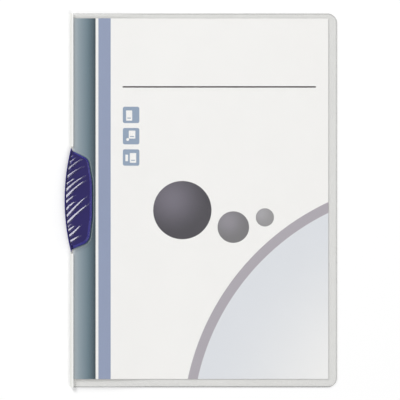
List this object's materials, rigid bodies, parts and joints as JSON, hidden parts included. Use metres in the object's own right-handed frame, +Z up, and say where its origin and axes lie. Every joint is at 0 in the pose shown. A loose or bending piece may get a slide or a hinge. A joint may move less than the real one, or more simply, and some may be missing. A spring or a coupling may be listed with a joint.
{
  "type": "clip folder",
  "caption": "A4 folder of clear film that opens like a book, round a printed sheet held at the spine by a ribbed plastic clip that swings out on a pin in its tip.",
  "frame": {"origin": "middle of the closed folder's box, on the surface it lies on", "axes": "+X from the spine to the fore edge, +Y to the top of the page, +Z up through the front cover"},
  "size_m": [0.2245, 0.308, 0.008],
  "materials": {
    "clear_film": "clear polypropylene film, satin",
    "printed_paper": "smooth printed paper",
    "indigo_plastic": "moulded, glossy"
  },
  "bodies": {
    "folder": {"back_cover": "clear_film", "insert_sheet": "printed_paper"},
    "cover": {"front_cover": "clear_film"},
    "swing_clip": {"clip": "indigo_plastic"}
  },
  "joints": [
    {"name": "cover_fold", "type": "hinge", "parent": "folder", "child": "cover", "pos_m": [-0.10725, 0, 0.0035], "axis": [0, -1, 0], "range_deg": [0, 160]},
    {"name": "clip_swing", "type": "hinge", "parent": "folder", "child": "swing_clip", "pos_m": [-0.10595, 0.0403, 0.0012], "axis": [0, 0, -1], "range_deg": [0, 60]}
  ]
}
